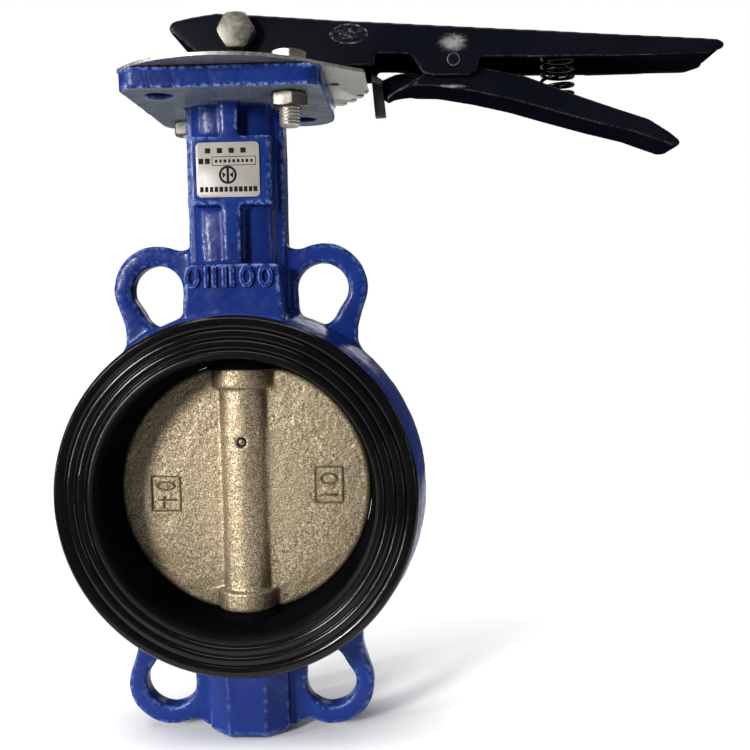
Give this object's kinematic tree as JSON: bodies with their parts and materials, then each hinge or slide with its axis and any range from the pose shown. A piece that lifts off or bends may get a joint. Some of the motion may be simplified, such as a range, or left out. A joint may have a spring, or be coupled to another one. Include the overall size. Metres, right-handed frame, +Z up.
{
  "type": "butterfly valve",
  "caption": "Wafer butterfly valve: cast ring body with slotted ears and a tall neck, rubber seat, pinned disc, and a hand lever with a latch trigger over a notched plate.",
  "frame": {"origin": "centre of the pipe bore, where the stem's axis crosses the pipe's axis", "axes": "+X the way the hand lever points when closed, +Y along the pipe away from the lever bolt's head, +Z up along the stem towards the lever"},
  "size_m": [0.2656, 0.1021, 0.2915],
  "materials": {
    "blue_enamel": "gloss enamel over sand-cast iron",
    "black_rubber": "satin moulded rubber",
    "nickel_cast": "nickel-plated casting, granular",
    "pin_steel": "ground",
    "stem_steel": "turned",
    "bushing_bronze": "turned bronze",
    "seal_rubber": "moulded nitrile",
    "zinc_plate": "zinc-plated sheet",
    "zinc_fastener": "bright zinc",
    "black_gloss": "gloss black paint, scuffed",
    "hub_steel": "dark steel",
    "rivet_steel": "painted rivet",
    "pawl_steel": "dark hardened steel",
    "spring_steel": "oiled spring wire",
    "label_film": "printed film, no lettering"
  },
  "bodies": {
    "casing": {"valve_body": "blue_enamel", "seat_liner": "black_rubber", "bushing_upper": "bushing_bronze", "bushing_middle": "bushing_bronze", "bushing_lower": "bushing_bronze", "stem_seal_upper": "seal_rubber", "stem_seal_middle": "seal_rubber", "notch_plate": "zinc_plate", "plate_bolt_front": "zinc_fastener", "plate_bolt_rear": "zinc_fastener", "plate_nut_front": "zinc_fastener", "plate_nut_rear": "zinc_fastener", "name_label": "label_film"},
    "turning_group": {"stem": "stem_steel", "disc": "nickel_cast", "disc_pin": "pin_steel", "lever_hub": "hub_steel", "lever_handle": "black_gloss", "clamp_bolt": "zinc_fastener", "clamp_nut": "zinc_fastener", "pivot_pin": "rivet_steel", "trigger_spring": "spring_steel"},
    "latch": {"trigger": "black_gloss", "pawl": "pawl_steel"}
  },
  "joints": [
    {"name": "stem_turn", "type": "hinge", "parent": "casing", "child": "turning_group", "pos_m": [0, 0, 0], "axis": [0, 0, 1], "range_deg": [0, 90]},
    {"name": "trigger_squeeze", "type": "hinge", "parent": "turning_group", "child": "latch", "pos_m": [0.0872, 0, 0.1682], "axis": [0, -1, 0], "range_deg": [0, 10], "stiffness_Nm_per_rad": 1, "springref_deg": -17.19, "deforming": ["trigger_spring"]}
  ]
}
